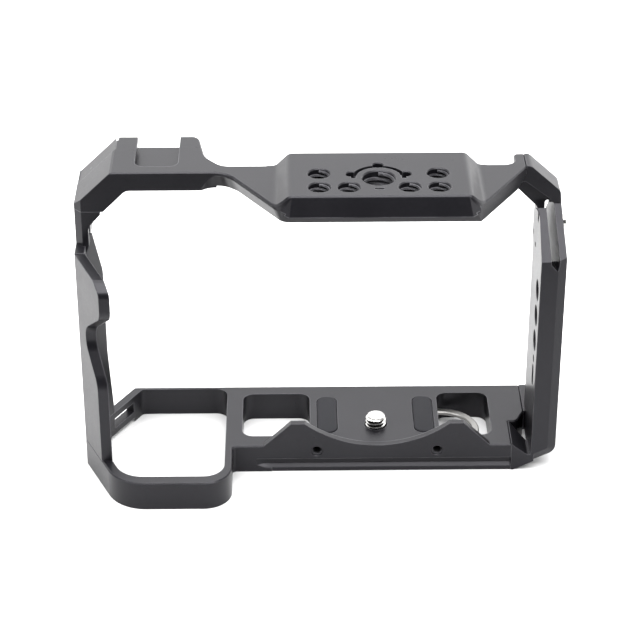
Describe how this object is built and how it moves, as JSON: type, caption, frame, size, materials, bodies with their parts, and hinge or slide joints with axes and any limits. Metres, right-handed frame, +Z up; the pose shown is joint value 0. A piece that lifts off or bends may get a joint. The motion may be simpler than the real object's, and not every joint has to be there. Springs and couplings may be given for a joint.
{
  "type": "camera cage",
  "caption": "Rectangular metal frame that screws round a camera body, with a cold shoe, threaded accessory holes, a dovetail foot, a captive tripod screw and a stowed driver.",
  "frame": {"origin": "on the camera screw's axis, at the camera seat, which is the top face of the base", "axes": "+X to the port side, away from the grip; +Y to the back of the camera; +Z up along the camera screw"},
  "size_m": [0.1485, 0.0559, 0.104],
  "materials": {
    "black_aluminium": "black anodised over fine bead blasting",
    "black_steel": "black oxide",
    "bright_steel": "bright turned",
    "rubber_pad": "matt black",
    "nylon": "matt natural",
    "plated_magnet": "nickel plated"
  },
  "bodies": {
    "cage": {"base_plate": "black_aluminium", "bottom_left_front_screw": "black_steel", "bottom_left_rear_screw": "black_steel", "bottom_right_front_screw": "black_steel", "bottom_right_rear_screw": "black_steel", "driver_magnet": "plated_magnet", "grip_side_bar": "black_aluminium", "left_pad": "rubber_pad", "outer_side_screw": "bright_steel", "port_side_plate": "black_aluminium", "right_pad": "rubber_pad", "screw_retaining_ring": "rubber_pad", "top_left_front_screw": "black_steel", "top_left_rear_screw": "black_steel", "top_plate": "black_aluminium", "top_right_front_screw": "black_steel", "top_right_rear_screw": "black_steel"},
    "screw_washer": {"screw_washer": "nylon"},
    "camera_screw": {"camera_screw": "bright_steel"},
    "driver": {"driver": "bright_steel"}
  },
  "joints": [
    {"name": "camera_screw_lift", "type": "slide", "parent": "cage", "child": "screw_washer", "axis": [0, 0, 1], "range_m": [0, 0.0016]},
    {"name": "camera_screw_turn", "type": "hinge", "parent": "screw_washer", "child": "camera_screw", "pos_m": [0, 0, 0], "axis": [0, 0, 1], "continuous": true},
    {"name": "driver_release", "type": "slide", "parent": "cage", "child": "driver", "axis": [0, 0, -1], "range_m": [0, 0.012]}
  ]
}
